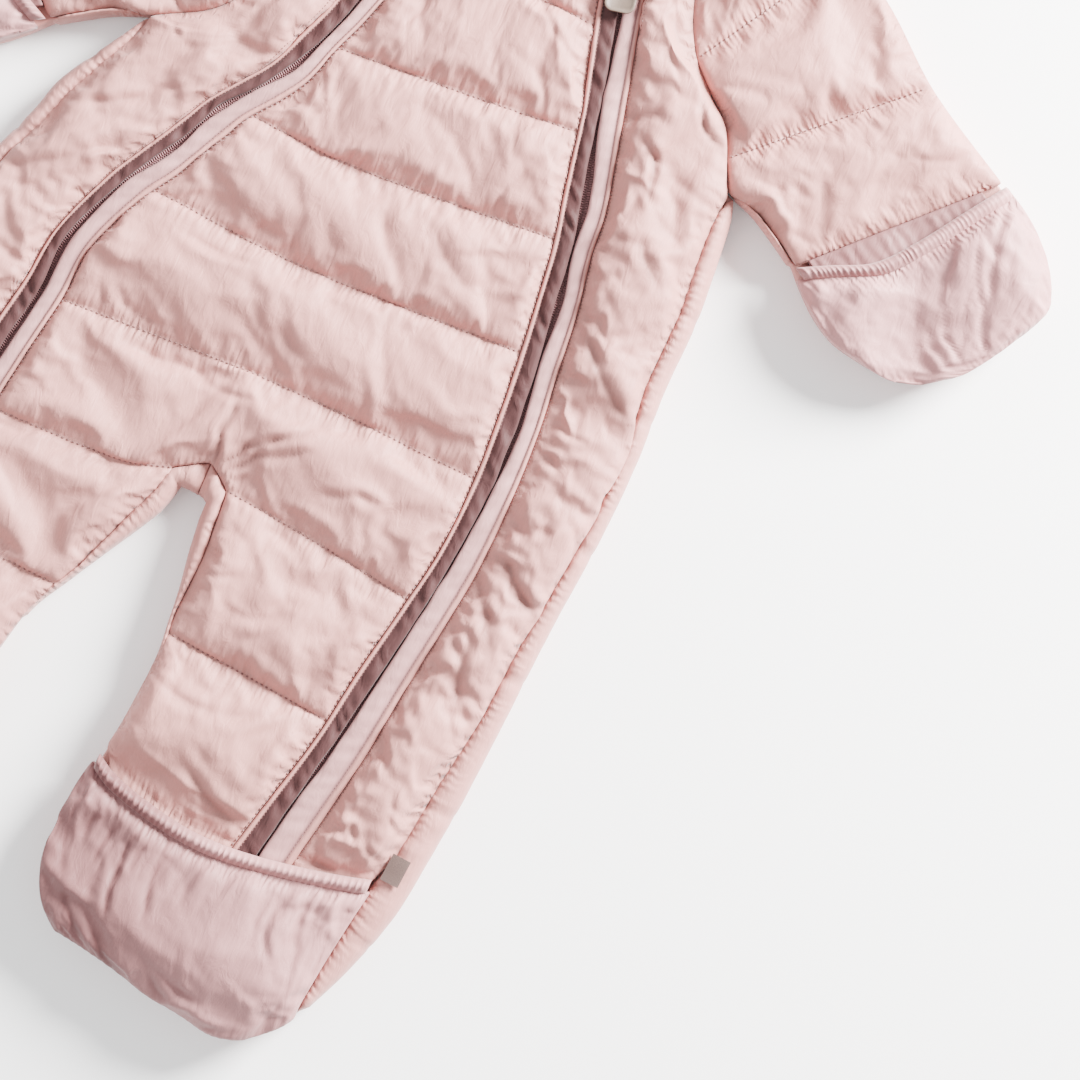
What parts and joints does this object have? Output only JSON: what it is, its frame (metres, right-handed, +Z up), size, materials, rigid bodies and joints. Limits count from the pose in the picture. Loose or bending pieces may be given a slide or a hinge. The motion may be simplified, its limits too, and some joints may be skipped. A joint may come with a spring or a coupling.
{
  "type": "baby snowsuit",
  "caption": "Quilted baby snowsuit with hood, long front zips, fold-over mitts and foot covers, laid flat on its back.",
  "frame": {"origin": "centre of the garment's box at the height of the surface that it lies on", "axes": "+Z up out of the front, +Y towards the hood, +X towards the wearer's left"},
  "size_m": [0.6435, 0.8187, 0.0385],
  "materials": {
    "shell_cloth": "soft woven shell, slightly silky",
    "flap_cloth": "soft woven shell, slightly silky",
    "guard_cloth": "soft woven shell",
    "tape_cloth": "woven tape",
    "pull_leather": "smooth",
    "slider_metal": "satin",
    "label_cloth": "woven"
  },
  "bodies": {
    "suit": {"front_centre": "shell_cloth", "front_side_left": "shell_cloth", "front_side_right": "shell_cloth", "back_left": "shell_cloth", "back_right": "shell_cloth", "sleeve_front_left": "shell_cloth", "sleeve_front_right": "shell_cloth", "sleeve_back_left": "shell_cloth", "sleeve_back_right": "shell_cloth", "hood_back": "shell_cloth", "hood_side_left": "shell_cloth", "hood_side_right": "shell_cloth", "cuff_left": "flap_cloth", "cuff_right": "flap_cloth", "mitt_left": "flap_cloth", "mitt_right": "flap_cloth", "mitt_casing_left": "flap_cloth", "mitt_casing_right": "flap_cloth", "foot_cover_left": "flap_cloth", "foot_cover_right": "flap_cloth", "foot_casing_left": "flap_cloth", "foot_casing_right": "flap_cloth", "zip_guard_inner_left": "guard_cloth", "zip_guard_outer_left": "guard_cloth", "zip_guard_inner_right": "guard_cloth", "zip_guard_outer_right": "guard_cloth", "zip_tape_left": "tape_cloth", "zip_tape_right": "tape_cloth", "zip_slider_left": "slider_metal", "zip_slider_right": "slider_metal", "side_label": "label_cloth"},
    "pull_left": {"zip_pull_left": "pull_leather"},
    "pull_right": {"zip_pull_right": "pull_leather"}
  },
  "joints": [
    {"name": "pull_left_turn", "type": "hinge", "parent": "suit", "child": "pull_left", "pos_m": [0.05573, 0.182, 0.0234], "axis": [-0.9799, -0.1994, 0], "range_deg": [0, 150]},
    {"name": "pull_right_turn", "type": "hinge", "parent": "suit", "child": "pull_right", "pos_m": [-0.03485, 0.182, 0.0234], "axis": [-0.9763, 0.2164, 0], "range_deg": [0, 150]}
  ]
}
